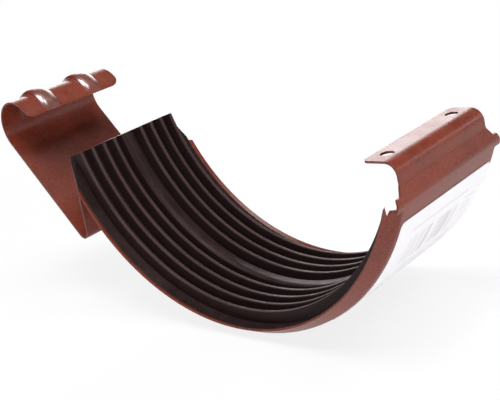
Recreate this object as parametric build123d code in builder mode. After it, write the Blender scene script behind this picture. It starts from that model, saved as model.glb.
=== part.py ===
"""Gutter union for a half-round gutter: a folded sheet band with a hooked spring clip, its ribbed
seal and a paper label.

Frame: X runs from the clip (-X) to the flange (+X), Y along the gutter, Z up. The origin lies on
the gutter's axis, half way along the band. Angles are seen from the front, counter-clockwise from
+X, so the bottom of the trough is at -90 degrees. Millimetres.
"""
import os
from math import asin, cos, degrees, radians, sin, sqrt, tan

from build123d import *

# Gutter and seal
gutter_radius = 62.5       # outside of the gutter that the union joins
seal_squash = 0.5          # how far the ribs stand inside the gutter's radius
seal_height = 5.4          # from the back of the seal to the tips of its ribs
seal_clearance = 0.05      # between the seal and the sheet around it
groove_depth = 3.4         # from the tip of a rib to the floor beside it
first_rib = 6.0            # from the middle of the seal to the first rib
last_rib_inset = 0.3       # from the edge of the strap to the middle of the last rib
ribs_each_side = 4
rib_tip_width = 1.2
rib_draft = 12.0           # lean of a rib's sides, degrees
rib_fillet = 0.4
pad_width = 4.4            # flat pad between the two sets of ribs
pad_drop = 1.0             # how far the pad lies below the rib tips
margin_thickness = 2.0     # bare strip along each edge of the seal
margin_heel = 0.25         # upright foot of that strip's outer side
seal_start = -28.8         # flange end of the seal
seal_end = -166.8          # clip end of the seal
seal_taper_length = 10.0   # slanted corners at the clip end
seal_overhang = 0.9        # how far that end stands past each edge of the strap

# Sheet
sheet = 0.6
band_width = 52.8
lip_length = 4.8           # from the corner of the fold to the free edge
lip_angle = 34.0           # how far each lip turns inward
lip_fold_radius = 1.3      # bends are given at the middle of the sheet
strap_setback = 6.0        # both ends of the band are narrower than the trough, by this at each edge
lip_end = -158.3           # angle at which the lips end beside the clip
lip_slant = 2.6            # slanted corner of each lip there, measured along the free edge

# Flange end of each lip: a shoulder, a narrow notch and a tooth, from the end of the trough upward
shoulder_rise = 3.2
shoulder_setback = 2.5     # from the edge of the trough to the top of the shoulder
shoulder_spread = 1.0      # how much wider the shoulder is at its foot
shoulder_radius = 0.7
strap_spread = 1.8         # how much the strap widens on its way down to the shoulder
strap_spread_height = 2.6
notch_drop = 0.1
notch_width = 0.7
tooth_rise = 2.5
tooth_width = 1.2

# Clip, as the sheet is bent, from the trough to the hook
top_fold_start = -166.0
top_fold_radius = 0.7
inner_leaf_lean = 7.8      # from the vertical, outward going down
inner_leaf_length = 27.2
lower_fold_radius = 2.4
outer_leaf_lean = 37.5     # from the vertical, outward going up
outer_leaf_length = 41.6
hook_radius = 9.2
hook_sweep = 195.0
hook_corner_radius = 3.0

# Ribs pressed outward over the hook
press_spacing = 18.8
press_width = 9.2          # at the foot
press_crest = 4.6          # width of the flat top
press_height = 1.6
press_fillet = 3.5
press_middle = 108.5       # direction of the highest point, seen from the hook's centre
press_turn = 190.0         # how far a rib turns about its own axis, degrees

# Flange, as the sheet is bent, from the trough to the free edge
flare_start = -22.3
flare_lead = 0.9
flare_radius = 1.7
flare_lean = 19.0          # inward lean of the flare
flare_length = 2.9
wall_radius = 5.0
wall_height = 1.25
flange_radius = 3.3
flange_width = 6.2         # flat part
flange_corner_radius = 1.6
hole_inset = 5.4           # from each side of the flange to the hole's centre
hole_diameter = 3.6
hole_edge = 3.7            # from the free edge of the flange to the hole's centre

# Label
label_top = -25.8
label_bottom = -62.0
label_margin = 0.25        # between the label and the start of each fold
label_thickness = 0.15
label_glue = 0.05
label_corner_radius = 1.5

# Allowances
overlap = 0.2              # arc that carries the flange into the trough, degrees
cut_margin = 1.0           # how far a cut runs past the edge that it trims
length_tolerance = 0.01    # how near a corner edge comes to the thickness of its sheet
place_tolerance = 0.05     # how near it lies to the end of the sheet

# Sizes that follow
seat_radius = gutter_radius - seal_squash
band_inner_radius = seat_radius + seal_height
band_radius = band_inner_radius + sheet / 2
band_outer_radius = band_inner_radius + sheet
strap_width = band_width - 2 * strap_setback
shoulder_width = band_width - 2 * shoulder_setback
hole_spacing = strap_width - 2 * hole_inset
lip_rise = lip_length * sin(radians(lip_angle))
lip_run = lip_length * cos(radians(lip_angle))
fold_place = band_width / 2 - lip_run - sheet / 2 * sin(radians(lip_angle))
inner_corner = fold_place - sheet / 2 * tan(radians(lip_angle / 2))
fold_setback = (lip_fold_radius + sheet / 2) * tan(radians(lip_angle / 2))
hook_outer_radius = hook_radius + sheet / 2
hook_inner_radius = hook_radius - sheet / 2
groove_radius = seat_radius + groove_depth
margin_radius = band_inner_radius - margin_thickness
seal_back_radius = band_inner_radius - seal_clearance
last_rib = strap_width / 2 - last_rib_inset
rib_pitch = (last_rib - first_rib) / (ribs_each_side - 1)
trough_top = band_outer_radius * sin(radians(flare_start))
shoulder_height = trough_top + shoulder_rise
notch_floor = trough_top - notch_drop
tooth_tip = trough_top + tooth_rise
tooth_end = degrees(asin(tooth_tip / band_outer_radius)) + 1


def radial_plane(angle, axis=(0, 0)):
    """Plane through an axis along Y: local x points outward at the angle, local y along +Y."""
    outward = (cos(radians(angle)), 0, sin(radians(angle)))
    upward = (-sin(radians(angle)), 0, cos(radians(angle)))
    return Plane(origin=(axis[0], 0, axis[1]), x_dir=outward, z_dir=upward)


def across_plane(angle):
    """Plane that touches the trough at the angle: local x along +Y, local z outward."""
    radial = radial_plane(angle)
    return Plane(origin=radial.from_local_coords((band_radius, 0, 0)), x_dir=(0, 1, 0), z_dir=radial.x_dir)


# Middle of the sheet in the flange, seen from the front: flare, upright wall, bend and flat
with BuildLine() as flange_path:
    trough_end = CenterArc((0, 0), band_radius, flare_start - overlap, overlap)
    lead = Line(trough_end @ 1, trough_end @ 1 + (trough_end % 1) * flare_lead)
    flare_bend = JernArc(lead @ 1, lead % 1, flare_radius, flare_lean - flare_start)
    flare = Line(flare_bend @ 1, flare_bend @ 1 + (flare_bend % 1) * flare_length)
    wall_bend = JernArc(flare @ 1, flare % 1, wall_radius, -flare_lean)
    wall = Line(wall_bend @ 1, wall_bend @ 1 + (wall_bend % 1) * wall_height)
    flange_bend = JernArc(wall @ 1, wall % 1, flange_radius, 90)
    flange = Line(flange_bend @ 1, flange_bend @ 1 + (flange_bend % 1) * flange_width)
flange_edge = (flange @ 1).X
flange_top = (flange @ 1).Y + sheet / 2

# Middle of the sheet in the clip: top fold, inner leaf, lower fold, outer leaf and hook
with BuildLine() as clip_path:
    strap = CenterArc((0, 0), band_radius, lip_end + 1, top_fold_start - lip_end - 1)
    top_turn = -top_fold_start - inner_leaf_lean
    top_fold = JernArc(strap @ 1, strap % 1, top_fold_radius, top_turn)
    inner_leaf = Line(top_fold @ 1, top_fold @ 1 + (top_fold % 1) * inner_leaf_length)
    lower_turn = 180 - inner_leaf_lean - outer_leaf_lean
    lower_fold = JernArc(inner_leaf @ 1, inner_leaf % 1, lower_fold_radius, -lower_turn)
    outer_leaf = Line(lower_fold @ 1, lower_fold @ 1 + (lower_fold % 1) * outer_leaf_length)
    hook = JernArc(outer_leaf @ 1, outer_leaf % 1, hook_radius, -hook_sweep)
hook_end = hook @ 1
leaf_way = outer_leaf % 1
hook_centre = outer_leaf @ 1 + Vector(leaf_way.Y, -leaf_way.X) * hook_radius

# Pressed ribs, the outside of each and then its inside. The crest of a rib is a half circle set off
# from the hook's own, so that both its ends fade out.
full_radius = hook_outer_radius + press_height
press_offset = (full_radius - sqrt(2 * hook_outer_radius**2 - full_radius**2)) / 2
press_radius = full_radius - press_offset
press_way = Vector(cos(radians(press_middle)), sin(radians(press_middle)))
press_axis = hook_centre + press_way * press_offset
press_floor = press_radius - 2 * press_height - sheet
flank_run = (press_width - press_crest) / 2 * (press_radius - press_floor) / press_height
press_reach = (press_spacing + press_crest) / 2 + flank_run
pressings = []
for inset in (0, sheet):
    with BuildPart() as pressing:
        with BuildSketch(radial_plane(press_middle + press_turn / 2, (press_axis.X, press_axis.Y))):
            with BuildLine():
                rib_edge = FilletPolyline(
                    (press_floor, (press_spacing - press_crest) / 2 - flank_run),
                    (press_radius, (press_spacing - press_crest) / 2),
                    (press_radius, (press_spacing + press_crest) / 2),
                    (press_floor, press_reach),
                    radius=press_fillet,
                )
                Line(rib_edge @ 0, rib_edge @ 1)
            make_face()
            offset(amount=-inset, mode=Mode.REPLACE)
            mirror(about=Plane.XZ)
        revolve(axis=Axis((press_axis.X, 0, press_axis.Y), (0, 1, 0)), revolution_arc=press_turn)
        # The outside stops in the middle of the sheet
        if inset == 0:
            with BuildSketch(Plane.XZ):
                with Locations((hook_centre.X, hook_centre.Y)):
                    Circle(hook_radius)
            extrude(amount=press_reach, both=True, mode=Mode.SUBTRACT)
    pressings.append(pressing.part)


# Band: trough with its two lips, then the clip and the flange at the narrower strap width
with BuildPart() as band:
    with BuildSketch(radial_plane(tooth_end)):
        with BuildLine():
            FilletPolyline(
                (band_radius - lip_rise, -fold_place - lip_run),
                (band_radius, -fold_place),
                (band_radius, fold_place),
                (band_radius - lip_rise, fold_place + lip_run),
                radius=lip_fold_radius,
            )
        trace(line_width=sheet)
    revolve(axis=Axis.Y, revolution_arc=tooth_end - lip_end)

    # Slanted corner of each lip beside the clip
    with BuildSketch(across_plane(lip_end)):
        with BuildLine():
            Polyline(
                (fold_place, -cut_margin),
                (fold_place, 0),
                (band_width / 2, lip_slant),
                (band_width / 2 + cut_margin, lip_slant),
                (band_width / 2 + cut_margin, -cut_margin),
                close=True,
            )
        make_face()
        mirror(about=Plane.YZ)
    extrude(amount=lip_length, both=True, mode=Mode.SUBTRACT)

    # Between the teeth the trough stops where the flare begins
    with BuildSketch(radial_plane(tooth_end + 1)):
        with Locations((band_radius, 0)):
            Rectangle(2 * (lip_rise + sheet), band_width - 2 * tooth_width)
    revolve(axis=Axis.Y, revolution_arc=tooth_end + 1 - flare_start, mode=Mode.SUBTRACT)

    # Flange
    with BuildSketch(Plane.XZ):
        trace(flange_path.line, line_width=sheet)
    extrude(amount=shoulder_width / 2 + shoulder_spread, both=True)

    # Outline of the flange end: strap width, shoulder, notch and tooth, the same at both edges
    with BuildSketch(Plane.YZ) as flange_outline:
        with BuildLine():
            Polyline(
                (strap_width / 2, flange_top + cut_margin),
                (strap_width / 2, shoulder_height + strap_spread_height),
                (strap_width / 2 + strap_spread, shoulder_height),
                (shoulder_width / 2, shoulder_height),
                (shoulder_width / 2 + shoulder_spread, notch_floor),
                (shoulder_width / 2 + shoulder_spread + notch_width, notch_floor),
                (band_width / 2, tooth_tip),
                (band_width / 2 + cut_margin, tooth_tip),
                (band_width / 2 + cut_margin, flange_top + cut_margin),
                close=True,
            )
        make_face()
        shoulder = (shoulder_width / 2, shoulder_height)
        fillet(flange_outline.vertices().sort_by_distance(shoulder)[0], shoulder_radius)
        mirror(about=Plane.YZ)
    extrude(amount=band_outer_radius + cut_margin, mode=Mode.SUBTRACT)

    # Clip
    with BuildSketch(Plane.XZ):
        trace(clip_path.line, line_width=sheet)
    extrude(amount=strap_width / 2, both=True)

    # Rounded corners of the hook and of the flange
    corners = band.edges().filter_by(lambda edge: abs(edge.length - sheet) < length_tolerance)
    hook_corners = corners.filter_by(
        lambda edge: abs(edge.center().X - hook_end.X) + abs(edge.center().Z - hook_end.Y) < place_tolerance
    )
    fillet(hook_corners, hook_corner_radius)
    flange_corners = corners.filter_by(lambda edge: abs(edge.center().X - flange_edge) < place_tolerance)
    fillet(flange_corners, flange_corner_radius)

    # Pressed ribs
    add(pressings[0])
    add(pressings[1], mode=Mode.SUBTRACT)

    # Screw holes
    with BuildSketch(Plane.XY.offset(flange_top)):
        with Locations((flange_edge + hole_edge, 0)):
            with GridLocations(0, hole_spacing, 1, 2):
                Circle(hole_diameter / 2)
    extrude(amount=-2 * sheet, mode=Mode.SUBTRACT)
band.part.label = "band"


def rib_outline(middle, tip_width, tip_radius):
    """Points of one rib of the seal between two groove floors."""
    flank = (groove_radius - tip_radius) * tan(radians(rib_draft))
    return [
        (groove_radius, middle - tip_width / 2 - flank),
        (tip_radius, middle - tip_width / 2),
        (tip_radius, middle + tip_width / 2),
        (groove_radius, middle + tip_width / 2 + flank),
    ]


# Seal: one extruded strip, its edges bevelled to lie against the lips
with BuildPart() as seal:
    side_gap = seal_clearance / sin(radians(lip_angle))
    margin_edge = inner_corner + margin_thickness / tan(radians(lip_angle)) - side_gap
    back_edge = inner_corner - fold_setback
    margin_foot = last_rib + rib_tip_width / 2 + (margin_radius - seat_radius) * tan(radians(rib_draft))
    with BuildSketch(radial_plane(seal_start)) as seal_section:
        half_outline = rib_outline(0, pad_width, seat_radius + pad_drop)[2:]
        for rib in range(ribs_each_side):
            half_outline += rib_outline(first_rib + rib_pitch * rib, rib_tip_width, seat_radius)
        half_outline[-1] = (margin_radius, margin_foot)
        half_outline += [(margin_radius, margin_edge), (seal_back_radius - margin_heel, inner_corner)]
        with BuildLine():
            Polyline((seal_back_radius, 0), (seat_radius + pad_drop, 0), *half_outline,
                     (seal_back_radius, back_edge), close=True)
        make_face()
        mirror(about=Plane.XZ)
        tips = seal_section.vertices().filter_by(lambda vertex: vertex.X < seat_radius + length_tolerance)
        fillet(tips, rib_fillet)
    revolve(axis=Axis.Y, revolution_arc=seal_start - seal_end)

    # Slanted corners at the clip end
    with BuildSketch(across_plane(seal_end)):
        with BuildLine():
            Polyline(
                (strap_width / 2 + seal_overhang, -cut_margin),
                (strap_width / 2 + seal_overhang, 0),
                (margin_edge, seal_taper_length),
                (margin_edge + cut_margin, seal_taper_length),
                (margin_edge + cut_margin, -cut_margin),
                close=True,
            )
        make_face()
        mirror(about=Plane.YZ)
    extrude(amount=seal_height, both=True, mode=Mode.SUBTRACT)
seal.part.label = "seal"


# Label: paper on the outside of the trough, from fold to fold
with BuildPart() as label:
    label_width = 2 * (fold_place - fold_setback - label_margin)
    with BuildSketch(radial_plane(label_top)):
        with Locations((band_outer_radius + label_glue + label_thickness / 2, 0)):
            Rectangle(label_thickness, label_width)
    revolve(axis=Axis.Y, revolution_arc=label_top - label_bottom)
    paper_corners = label.edges().filter_by(
        lambda edge: abs(edge.length - label_thickness) < length_tolerance
    )
    fillet(paper_corners, label_corner_radius)
label.part.label = "label"

os.makedirs("parts", exist_ok=True)
for node in (band, seal, label):
    export_step(node.part, f"parts/{node.part.label}.step")
    print(node.part.label, "solids", len(node.part.solids()), "volume", round(node.part.volume))
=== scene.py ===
from math import radians

import bmesh
import bpy
from mathutils import Matrix, Vector


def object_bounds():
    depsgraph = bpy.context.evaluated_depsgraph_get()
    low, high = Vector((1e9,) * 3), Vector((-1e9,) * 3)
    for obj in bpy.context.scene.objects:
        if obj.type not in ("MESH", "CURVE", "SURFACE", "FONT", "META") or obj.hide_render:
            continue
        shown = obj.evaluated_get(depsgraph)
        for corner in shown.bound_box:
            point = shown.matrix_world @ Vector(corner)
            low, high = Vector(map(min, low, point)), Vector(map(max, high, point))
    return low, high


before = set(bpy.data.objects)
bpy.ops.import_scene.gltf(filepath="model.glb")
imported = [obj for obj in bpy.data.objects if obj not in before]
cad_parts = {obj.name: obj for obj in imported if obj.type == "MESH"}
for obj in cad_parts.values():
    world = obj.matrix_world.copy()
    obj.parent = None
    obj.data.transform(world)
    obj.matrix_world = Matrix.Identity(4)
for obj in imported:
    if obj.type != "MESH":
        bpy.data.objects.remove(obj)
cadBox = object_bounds()
print("frame loaded:", sorted(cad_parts))

mm = 0.001               # m


def metres(values):
    return tuple(value * mm for value in values)


# Small helpers for node trees
def addNode(tree, kind, **settings):
    node = tree.nodes.new(kind)
    for name, value in settings.items():
        setattr(node, name, value)
    return node


def feed(tree, socket, value):
    if isinstance(value, bpy.types.NodeSocket):
        tree.links.new(value, socket)
    else:
        socket.default_value = value


def math(tree, operation, *values, clamp=False):
    node = addNode(tree, "ShaderNodeMath", operation=operation, use_clamp=clamp)
    for socket, value in zip(node.inputs, values):
        feed(tree, socket, value)
    return node.outputs[0]


def mixColor(tree, factor, first, second):
    node = addNode(tree, "ShaderNodeMix", data_type="RGBA")
    for place, value in ((0, factor), (6, first), (7, second)):
        feed(tree, node.inputs[place], value)
    return node.outputs[2]


def ramp(tree, value, low, high, bottom=0.0, top=1.0, smooth=False):
    node = addNode(tree, "ShaderNodeMapRange")
    node.interpolation_type = "SMOOTHSTEP" if smooth else "LINEAR"
    for socket, number in zip(node.inputs, (value, low, high, bottom, top)):
        feed(tree, socket, number)
    return node.outputs[0]


def noise(tree, vector, scale, detail=2.0, roughness=0.5):
    node = addNode(tree, "ShaderNodeTexNoise")
    feed(tree, node.inputs["Vector"], vector)
    feed(tree, node.inputs["Scale"], scale)
    feed(tree, node.inputs["Detail"], detail)
    feed(tree, node.inputs["Roughness"], roughness)
    return node.outputs[0]


def separate(tree, vector):
    node = addNode(tree, "ShaderNodeSeparateXYZ")
    feed(tree, node.inputs[0], vector)
    return node.outputs


def combine(tree, *values):
    node = addNode(tree, "ShaderNodeCombineXYZ")
    for socket, value in zip(node.inputs, values):
        feed(tree, socket, value)
    return node.outputs[0]


def bump(tree, height, strength, distance, under=None):
    node = addNode(tree, "ShaderNodeBump")
    feed(tree, node.inputs["Strength"], strength)
    feed(tree, node.inputs["Distance"], distance)
    feed(tree, node.inputs["Height"], height)
    if under is not None:
        feed(tree, node.inputs["Normal"], under)
    return node.outputs[0]


# 1 in the middle of a crown and 0 at its sides, half a width away
def crown(tree, offset, half):
    aside = math(tree, "DIVIDE", offset, half)
    return math(tree, "SUBTRACT", 1.0, math(tree, "MULTIPLY", aside, aside), clamp=True)


def newGroup(name, inputs, outputs):
    tree = bpy.data.node_groups.new(name, "ShaderNodeTree")
    for label, kind, value in inputs:
        socket = tree.interface.new_socket(label, in_out="INPUT", socket_type=kind)
        if value is not None:
            socket.default_value = value
    for label in outputs:
        tree.interface.new_socket(label, in_out="OUTPUT", socket_type="NodeSocketFloat")
    return tree, addNode(tree, "NodeGroupInput").outputs, addNode(tree, "NodeGroupOutput").inputs


def useGroup(tree, group, **values):
    node = addNode(tree, "ShaderNodeGroup", node_tree=group)
    for name, value in values.items():
        feed(tree, node.inputs[name], value)
    return node.outputs


def newMaterial(name):
    material = bpy.data.materials.new(name)
    material.use_nodes = True
    tree = material.node_tree
    shader = tree.nodes["Principled BSDF"]
    place = addNode(tree, "ShaderNodeTexCoord").outputs["Object"]
    return material, tree, shader, place


def dress(nodeName, material):
    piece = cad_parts[nodeName]
    piece.data.materials.clear()
    piece.data.materials.append(material)


# Grain, specks and broad patches. Scales in these groups are in features to a millimetre
surfaceGrain = {
    "detail": 3.0,
    "roughness": 0.6,
    "speckScale": 2.1,       # specks to one grain
    "speckDetail": 1.0,
    "speckEdges": (0.35, 0.65),
    "patchDetail": 3.0,
    "patchEdges": (0.32, 0.68),
}


def makeGrain():
    s = surfaceGrain
    tree, given, out = newGroup(
        "surfaceGrain",
        [("Place", "NodeSocketVector", None), ("Size", "NodeSocketFloat", 0.5),
         ("Patch", "NodeSocketFloat", 12.0)],
        ["Height", "Speckle", "Patches"],
    )
    place = given["Place"]
    fineScale = math(tree, "DIVIDE", 1 / mm, given["Size"])
    speckScale = math(tree, "DIVIDE", s["speckScale"] / mm, given["Size"])
    patchScale = math(tree, "DIVIDE", 1 / mm, given["Patch"])
    speck = noise(tree, place, speckScale, s["speckDetail"])
    patch = noise(tree, place, patchScale, s["patchDetail"])
    feed(tree, out["Height"], noise(tree, place, fineScale, s["detail"], s["roughness"]))
    feed(tree, out["Speckle"], ramp(tree, speck, *s["speckEdges"]))
    feed(tree, out["Patches"], ramp(tree, patch, *s["patchEdges"]))
    return tree


# Dust, in clouds on faces that look upward
settledDust = {
    "upward": (-0.1, 0.9),   # upward part of the normal, from no dust to all of it
    "scale": 0.16,
    "detail": 5.0,
    "roughness": 0.65,
    "edges": (0.38, 0.72),
}


def makeDust():
    s = settledDust
    tree, given, out = newGroup(
        "settledDust",
        [("Place", "NodeSocketVector", None), ("Amount", "NodeSocketFloat", 0.1)],
        ["Mask"],
    )
    normal = addNode(tree, "ShaderNodeNewGeometry").outputs["Normal"]
    upward = ramp(tree, separate(tree, normal)[2], *s["upward"])
    cloud = noise(tree, given["Place"], s["scale"] / mm, s["detail"], s["roughness"])
    lying = math(tree, "MULTIPLY", upward, ramp(tree, cloud, *s["edges"]))
    feed(tree, out["Mask"], math(tree, "MULTIPLY", lying, given["Amount"]))
    return tree


# Wear along edges, found where a rounded normal leaves the flat one
edgeWear = {
    "turn": (0.995, 0.88),   # cosine between the two normals, from no wear to all of it
    "samples": 6,
    "scale": 0.9,
    "detail": 4.0,
    "roughness": 0.6,
    "edges": (0.3, 0.7),
}


def makeWear():
    s = edgeWear
    tree, given, out = newGroup(
        "edgeWear",
        [("Place", "NodeSocketVector", None), ("Reach", "NodeSocketFloat", 0.3),
         ("Break", "NodeSocketFloat", 0.5)],
        ["Mask"],
    )
    soft = addNode(tree, "ShaderNodeBevel", samples=s["samples"])
    feed(tree, soft.inputs["Radius"], math(tree, "MULTIPLY", given["Reach"], mm))
    flat = addNode(tree, "ShaderNodeNewGeometry").outputs["Normal"]
    turn = addNode(tree, "ShaderNodeVectorMath", operation="DOT_PRODUCT")
    feed(tree, turn.inputs[0], soft.outputs[0])
    feed(tree, turn.inputs[1], flat)
    edge = ramp(tree, turn.outputs["Value"], *s["turn"])
    gaps = ramp(tree, noise(tree, given["Place"], s["scale"] / mm, s["detail"], s["roughness"]), *s["edges"])
    broken = math(tree, "SUBTRACT", 1.0, math(tree, "MULTIPLY", gaps, given["Break"]))
    feed(tree, out["Mask"], math(tree, "MULTIPLY", edge, broken, clamp=True))
    return tree


grain = makeGrain()
dust = makeDust()
wear = makeWear()
print("shared effects made")


# The three shared effects, with one finish's own values
def surface(tree, place, s):
    texture = useGroup(tree, grain, Place=place, Size=s["grainSize"], Patch=s["patchSize"])
    worn = useGroup(tree, wear, Place=place, Reach=s["wearReach"], Break=s["wearBreak"])["Mask"]
    dusty = useGroup(tree, dust, Place=place, Amount=s["dust"])["Mask"]
    return texture, worn, dusty


def roughnessOver(tree, texture, s):
    low, high = s["roughness"]
    return ramp(tree, texture["Patches"], 0.0, 1.0, low, high)


# Band: red-brown coating on folded sheet
bandPaint = {
    "color": (0.176, 0.023, 0.009, 1),
    "deepColor": (0.109, 0.0135, 0.0065, 1),
    "speckColor": (0.295, 0.070, 0.038, 1),
    "speckShare": 0.42,
    "grainSize": 0.90,       # mm
    "patchSize": 14.0,       # mm
    "grainDepth": 0.034,     # mm
    "curlGrain": 0.25,       # share of the grain's depth that is left on the curl
    "waveScale": 0.055,      # waves to a millimetre
    "waveDepth": 0.10,       # mm
    "waveStrength": 0.5,
    "roughness": (0.29, 0.38),
    "wearRoughness": 0.10,
    "dustRoughness": 1.2,
    "specular": 0.38,
    "rubbedColor": (0.26, 0.085, 0.060, 1),
    "wearReach": 0.35,       # mm
    "wearBreak": 0.8,
    "wearShare": 0.55,
    "dustColor": (0.50, 0.42, 0.38, 1),
    "dust": 0.05,
    "zincColor": (0.20, 0.15, 0.13, 1),
    "cutFace": (0.72, 0.80),             # sideways part of the normal that makes a face a cut edge
    "zincScale": 1.3,        # patches to a millimetre
    "zincEdges": (0.40, 0.60),
    "zincShare": 0.30,
    "zincMetal": 0.3,
    "curlSide": (-82.0, -86.0),          # mm along x, from the strap to the curl
    "curlFoot": (-4.0, 0.0),             # mm along z
    "ribMiddle": 9.4,        # mm from the middle of the part
    "ribHalf": 3.4,          # mm
    "ribCrown": 1.2,         # mm
    "rubbedSide": (-93.0, -89.5),        # mm along x, where the crests begin to be rubbed smooth
    "rubbedCrest": (0.10, 0.45),
    "coat": 1.0,             # on the rubbed crests
    "wornCoat": 0.4,         # where an edge there is worn
    "coatRoughness": 0.26,
    "coatIor": 2.8,
}


def paintBand():
    s = bandPaint
    material, tree, shader, place = newMaterial("redBrownPaint")
    texture, worn, dusty = surface(tree, place, s)
    x, y, z = separate(tree, place)

    color = mixColor(tree, texture["Patches"], s["deepColor"], s["color"])
    specks = math(tree, "MULTIPLY", texture["Speckle"], s["speckShare"])
    color = mixColor(tree, specks, color, s["speckColor"])
    color = mixColor(tree, math(tree, "MULTIPLY", worn, s["wearShare"]), color, s["rubbedColor"])

    # Cut edges of the sheet show some of the zinc under the paint
    normal = addNode(tree, "ShaderNodeNewGeometry").outputs["Normal"]
    cut = ramp(tree, math(tree, "ABSOLUTE", separate(tree, normal)[1]), *s["cutFace"])
    ragged = ramp(tree, noise(tree, place, s["zincScale"] / mm, 3.0), *s["zincEdges"])
    bare = math(tree, "MULTIPLY", math(tree, "MULTIPLY", cut, ragged), s["zincShare"])
    color = mixColor(tree, bare, color, s["zincColor"])
    color = mixColor(tree, dusty, color, s["dustColor"])
    feed(tree, shader.inputs["Base Color"], color)
    feed(tree, shader.inputs["Metallic"], math(tree, "MULTIPLY", bare, s["zincMetal"]))

    rough = roughnessOver(tree, texture, s)
    rough = math(tree, "ADD", rough, math(tree, "MULTIPLY", worn, s["wearRoughness"]))
    rough = math(tree, "ADD", rough, math(tree, "MULTIPLY", dusty, s["dustRoughness"]), clamp=True)
    feed(tree, shader.inputs["Roughness"], rough)
    shader.inputs["Specular IOR Level"].default_value = s["specular"]
    shader.inputs["Coat Roughness"].default_value = s["coatRoughness"]
    shader.inputs["Coat IOR"].default_value = s["coatIor"]

    # The crests of the two pressed ribs are a little domed, and rubbed smooth on the inner side
    overCurl = ramp(tree, x, *metres(s["curlSide"]))
    onCurl = math(tree, "MULTIPLY", overCurl, ramp(tree, z, *metres(s["curlFoot"])))
    fromRib = math(tree, "SUBTRACT", math(tree, "ABSOLUTE", y), s["ribMiddle"] * mm)
    dome = crown(tree, fromRib, s["ribHalf"] * mm)
    rubbed = math(tree, "MULTIPLY", onCurl, ramp(tree, x, *metres(s["rubbedSide"])))
    rubbed = math(tree, "MULTIPLY", rubbed, ramp(tree, dome, *s["rubbedCrest"]))
    coat = math(tree, "MULTIPLY", rubbed, ramp(tree, worn, 0.0, 1.0, s["coat"], s["wornCoat"]))
    feed(tree, shader.inputs["Coat Weight"], coat)

    shaped = bump(tree, math(tree, "MULTIPLY", dome, onCurl), 1.0, s["ribCrown"] * mm)
    wave = noise(tree, place, s["waveScale"] / mm)
    shaped = bump(tree, wave, s["waveStrength"], s["waveDepth"] * mm, shaped)
    grainLeft = ramp(tree, onCurl, 0.0, 1.0, 1.0, s["curlGrain"])
    shaped = bump(tree, texture["Height"], grainLeft, s["grainDepth"] * mm, shaped)
    feed(tree, shader.inputs["Normal"], shaped)
    return material


dress("band", paintBand())
print("band painted")

# Seal: black rubber strip with two sets of ribs
sealRubber = {
    # color sits on the rib tips and deepColor on the groove floors; the darker floors are painted shade
    "color": (0.0235, 0.0125, 0.0130, 1),
    "deepColor": (0.0120, 0.0056, 0.0062, 1),
    "tipRadius": 62.0,       # mm
    "floorRadius": 65.4,     # mm
    "grainSize": 0.35,       # mm
    "patchSize": 9.0,        # mm
    "grainDepth": 0.015,     # mm
    "streakScale": 1.6,      # streaks to a millimetre across the strip
    "streakAlong": 0.03,     # how much slower the streaks change along the strip
    "streakIn": 0.6,         # and from its tips to its floor
    "streakDepth": 0.03,     # mm
    "streakStrength": 0.6,
    "padHalf": 2.2,          # mm
    "padCrown": 0.90,        # mm
    "roughness": (0.37, 0.49),
    "dustRoughness": 1.5,
    "specular": 0.18,
    "specularTint": (0.95, 0.68, 0.66, 1),
    "sheen": 0.03,
    "sheenRoughness": 0.5,
    "sheenTint": (0.60, 0.36, 0.38, 1),
    # rubbedColor: wear colour on worn edges, and also a painted highlight along the rib tips
    "rubbedColor": (0.100, 0.062, 0.058, 1),
    "tipHighlightFrom": 0.90,         # how near a rib's tip the painted highlight begins
    "tipStreaks": (0.3, 0.65),
    "tipLeast": 0.3,
    "tipHighlightShare": 0.5,
    "wearReach": 0.4,        # mm
    "wearBreak": 0.6,
    "wearShare": 0.35,
    "dustColor": (0.12, 0.085, 0.085, 1),
    "dust": 0.14,
}


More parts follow.
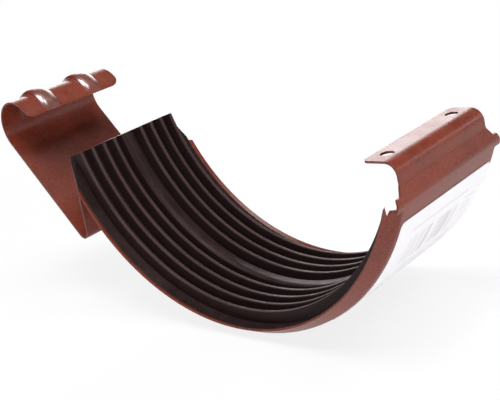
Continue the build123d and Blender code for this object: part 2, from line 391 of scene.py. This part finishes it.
def rubberSeal():
    s = sealRubber
    material, tree, shader, place = newMaterial("blackRubber")
    texture, worn, dusty = surface(tree, place, s)
    x, y, z = separate(tree, place)
    squares = math(tree, "ADD", math(tree, "MULTIPLY", x, x), math(tree, "MULTIPLY", z, z))
    radius = math(tree, "SQRT", squares)
    along = math(tree, "MULTIPLY", math(tree, "ARCTAN2", z, x), s["tipRadius"] * mm)

    # Streaks left along the strip where it was extruded
    slowly = math(tree, "MULTIPLY", along, s["streakAlong"])
    inward = math(tree, "MULTIPLY", radius, s["streakIn"])
    streak = noise(tree, combine(tree, slowly, y, inward), s["streakScale"] / mm)
    onTips = ramp(tree, radius, s["floorRadius"] * mm, s["tipRadius"] * mm)

    # Painted shade: the colour darkens from the rib tips down to the groove floors
    color = mixColor(tree, onTips, s["deepColor"], s["color"])
    # Painted highlight: the rib tips are lighter in colour, in streaks, mixed toward rubbedColor
    streaky = ramp(tree, streak, *s["tipStreaks"], s["tipLeast"], 1.0)
    tipHighlight = math(tree, "MULTIPLY", ramp(tree, onTips, s["tipHighlightFrom"], 1.0), streaky)
    color = mixColor(tree, math(tree, "MULTIPLY", tipHighlight, s["tipHighlightShare"]), color, s["rubbedColor"])
    color = mixColor(tree, math(tree, "MULTIPLY", worn, s["wearShare"]), color, s["rubbedColor"])
    color = mixColor(tree, dusty, color, s["dustColor"])
    feed(tree, shader.inputs["Base Color"], color)

    rough = roughnessOver(tree, texture, s)
    rough = math(tree, "ADD", rough, math(tree, "MULTIPLY", dusty, s["dustRoughness"]), clamp=True)
    feed(tree, shader.inputs["Roughness"], rough)
    shader.inputs["Specular IOR Level"].default_value = s["specular"]
    shader.inputs["Specular Tint"].default_value = s["specularTint"]
    shader.inputs["Sheen Weight"].default_value = s["sheen"]
    shader.inputs["Sheen Roughness"].default_value = s["sheenRoughness"]
    shader.inputs["Sheen Tint"].default_value = s["sheenTint"]

    # The pad between the two sets of ribs is a little crowned
    shaped = bump(tree, crown(tree, y, s["padHalf"] * mm), 1.0, s["padCrown"] * mm)
    shaped = bump(tree, streak, s["streakStrength"], s["streakDepth"] * mm, shaped)
    shaped = bump(tree, texture["Height"], 1.0, s["grainDepth"] * mm, shaped)
    feed(tree, shader.inputs["Normal"], shaped)
    return material


dress("seal", rubberSeal())
print("seal finished")

# Label: thin white paper with a few faint plain bars and lines
labelPaper = {
    "color": (0.90, 0.89, 0.92, 1),
    "deepColor": (0.87, 0.86, 0.89, 1),
    "radius": 68.2,          # mm
    "top": -25.8,            # degrees
    "grainSize": 0.30,       # mm
    "patchSize": 7.0,        # mm
    "grainDepth": 0.010,     # mm
    "roughness": (0.47, 0.60),
    "wearReach": 0.5,        # mm
    "wearBreak": 0.7,
    "wearShare": 0.25,
    "dust": 0.06,
    "inkColor": (0.50, 0.44, 0.49, 1),
    "inkStrength": (0.30, 0.62),
    "inkEdge": 0.05,         # mm
    "barWidth": 0.62,        # mm
    "barLimit": 0.48,        # a strip whose random number is above this is inked
    # Boxes of ink: from and to across, then from and to down, in mm
    "bars": (-13.5, 10.5, 9.0, 19.0),
    "longLine": (-14.0, 13.0, 5.4, 5.9),
    "shortLines": ((13.0, 18.0, 8.5, 9.0), (13.0, 17.0, 10.7, 11.2), (13.0, 18.5, 12.9, 13.4)),
}


def inBox(tree, across, down, edges, soft):
    left, right, upper, lower = edges
    inside = 1.0
    for value, low, high in ((across, left, right), (down, upper, lower)):
        inside = math(tree, "MULTIPLY", inside, ramp(tree, value, low - soft, low + soft))
        inside = math(tree, "MULTIPLY", inside, ramp(tree, value, high + soft, high - soft))
    return inside


def paperLabel():
    s = labelPaper
    material, tree, shader, place = newMaterial("whitePaper")
    texture, worn, dusty = surface(tree, place, s)
    x, y, z = separate(tree, place)
    across = math(tree, "DIVIDE", y, mm)
    turn = math(tree, "SUBTRACT", radians(s["top"]), math(tree, "ARCTAN2", z, x))
    down = math(tree, "MULTIPLY", turn, s["radius"])

    # Bars of uneven width: each narrow strip is inked or not
    pick = addNode(tree, "ShaderNodeTexWhiteNoise", noise_dimensions="1D")
    feed(tree, pick.inputs["W"], math(tree, "FLOOR", math(tree, "DIVIDE", across, s["barWidth"])))
    barred = math(tree, "GREATER_THAN", pick.outputs["Value"], s["barLimit"])
    inked = math(tree, "MULTIPLY", barred, inBox(tree, across, down, s["bars"], s["inkEdge"]))
    for line in (s["longLine"], *s["shortLines"]):
        inked = math(tree, "MAXIMUM", inked, inBox(tree, across, down, line, s["inkEdge"]))
    inked = math(tree, "MULTIPLY", inked, ramp(tree, texture["Speckle"], 0.0, 1.0, *s["inkStrength"]))

    color = mixColor(tree, texture["Patches"], s["deepColor"], s["color"])
    color = mixColor(tree, inked, color, s["inkColor"])
    color = mixColor(tree, math(tree, "MULTIPLY", worn, s["wearShare"]), color, s["deepColor"])
    color = mixColor(tree, dusty, color, s["deepColor"])
    feed(tree, shader.inputs["Base Color"], color)
    feed(tree, shader.inputs["Roughness"], roughnessOver(tree, texture, s))
    feed(tree, shader.inputs["Normal"], bump(tree, texture["Height"], 1.0, s["grainDepth"] * mm))
    return material


dress("label", paperLabel())
print("label finished")

# Studio: a pale level floor under the round bottom of the band, in a pale room
studio = {
    "floorSize": 8.0,        # m
    "floorColor": (0.86, 0.86, 0.86, 1),
    "floorRoughness": 0.9,
    "floorSpecular": 0.1,
    "whiteNear": 0.84,       # share of plain white beside the part, in the floor that is seen or mirrored
    "fadeFrom": 0.12,        # m
    "fadeTo": 0.45,          # m, where the floor is all white
    "ambient": 0.09,
}


def makeFloor():
    s = studio
    shape = bmesh.new()
    bmesh.ops.create_grid(shape, x_segments=1, y_segments=1, size=s["floorSize"] / 2)
    bmesh.ops.translate(shape, verts=shape.verts, vec=(0, 0, cadBox[0][2]))
    mesh = bpy.data.meshes.new("floor")
    shape.to_mesh(mesh)
    shape.free()
    floor = bpy.data.objects.new("floor", mesh)
    bpy.context.scene.collection.objects.link(floor)

    material, tree, shader, place = newMaterial("paleFloor")
    shader.inputs["Base Color"].default_value = s["floorColor"]
    shader.inputs["Roughness"].default_value = s["floorRoughness"]
    shader.inputs["Specular IOR Level"].default_value = s["floorSpecular"]
    white = addNode(tree, "ShaderNodeEmission")
    path = addNode(tree, "ShaderNodeLightPath").outputs
    seen = math(tree, "MAXIMUM", path["Is Camera Ray"], path["Is Transmission Ray"])
    seen = math(tree, "MAXIMUM", seen, path["Is Glossy Ray"])
    away = addNode(tree, "ShaderNodeVectorMath", operation="LENGTH")
    feed(tree, away.inputs[0], place)
    share = ramp(tree, away.outputs["Value"], s["fadeFrom"], s["fadeTo"], s["whiteNear"], 1.0, smooth=True)
    blend = addNode(tree, "ShaderNodeMixShader")
    feed(tree, blend.inputs[0], math(tree, "MULTIPLY", seen, share))
    feed(tree, blend.inputs[1], shader.outputs[0])
    feed(tree, blend.inputs[2], white.outputs[0])
    feed(tree, tree.nodes["Material Output"].inputs["Surface"], blend.outputs[0])
    mesh.materials.append(material)


def makeWorld():
    world = bpy.data.worlds.new("paleRoom")
    bpy.context.scene.world = world
    world.use_nodes = True
    tree = world.node_tree
    background = tree.nodes["Background"]
    path = addNode(tree, "ShaderNodeLightPath").outputs
    seen = math(tree, "MAXIMUM", path["Is Camera Ray"], path["Is Transmission Ray"])
    background.inputs["Color"].default_value = (1, 1, 1, 1)
    feed(tree, background.inputs["Strength"], ramp(tree, seen, 0.0, 1.0, studio["ambient"], 1.0))


# Lamps: where each stands as seen from the object, how far and how large (m) and how strong (W)
lamps = {
    "overhead": {"toward": (0.14, -0.16, 0.95), "distance": 0.70, "size": (0.36, 0.36), "power": 4.5},
    "glint": {"toward": (0.50, 0.22, 0.84), "distance": 0.70, "size": (0.20, 0.20), "power": 1.0},
    "backPanel": {"toward": (-0.69, 0.655, 0.29), "distance": 0.90, "size": (0.90, 0.30), "power": 4.9},
    "sidePanel": {"toward": (0.70, 0.68, 0.24), "distance": 0.90, "size": (0.70, 0.12), "power": 0.9},
    "rightFill": {"toward": (0.88, -0.47, 0.00), "distance": 0.90, "size": (0.60, 0.06), "power": 2.9},
}


def makeLamps():
    middle = (Vector(cadBox[0]) + Vector(cadBox[1])) / 2
    for name, s in lamps.items():
        data = bpy.data.lights.new(name, "AREA")
        data.shape = "RECTANGLE"
        data.size, data.size_y = s["size"]
        data.energy = s["power"]
        lamp = bpy.data.objects.new(name, data)
        bpy.context.scene.collection.objects.link(lamp)
        way = Vector(s["toward"]).normalized()
        stand = Matrix.Translation(middle + way * s["distance"])
        lamp.matrix_world = stand @ way.to_track_quat("Z", "Y").to_matrix().to_4x4()


# Camera: rolled, because in the picture the part has rolled a little on its round bottom
cameraView = {
    "place": (184.1, -183.8, 49.3),      # mm
    "aim": (-2.63, -6.98, -32.97),       # mm
    "roll": -13.8,           # degrees
    "lens": 65.87,           # mm
    "sensor": 36.0,          # mm
    "nearest": 10.0,         # mm
}


def makeCamera():
    s = cameraView
    data = bpy.data.cameras.new("camera")
    data.sensor_width = s["sensor"]
    data.lens = s["lens"]
    data.clip_start = s["nearest"] * mm
    camera = bpy.data.objects.new("camera", data)
    bpy.context.scene.collection.objects.link(camera)
    place = Vector(metres(s["place"]))
    aim = Vector(metres(s["aim"]))
    turn = (aim - place).to_track_quat("-Z", "Y").to_matrix().to_4x4()
    camera.matrix_world = Matrix.Translation(place) @ turn @ Matrix.Rotation(radians(s["roll"]), 4, "Z")
    bpy.context.scene.camera = camera


makeFloor()
makeWorld()
makeLamps()
makeCamera()
bpy.context.scene.view_settings.view_transform = "Standard"
print("studio, lamps and camera set")
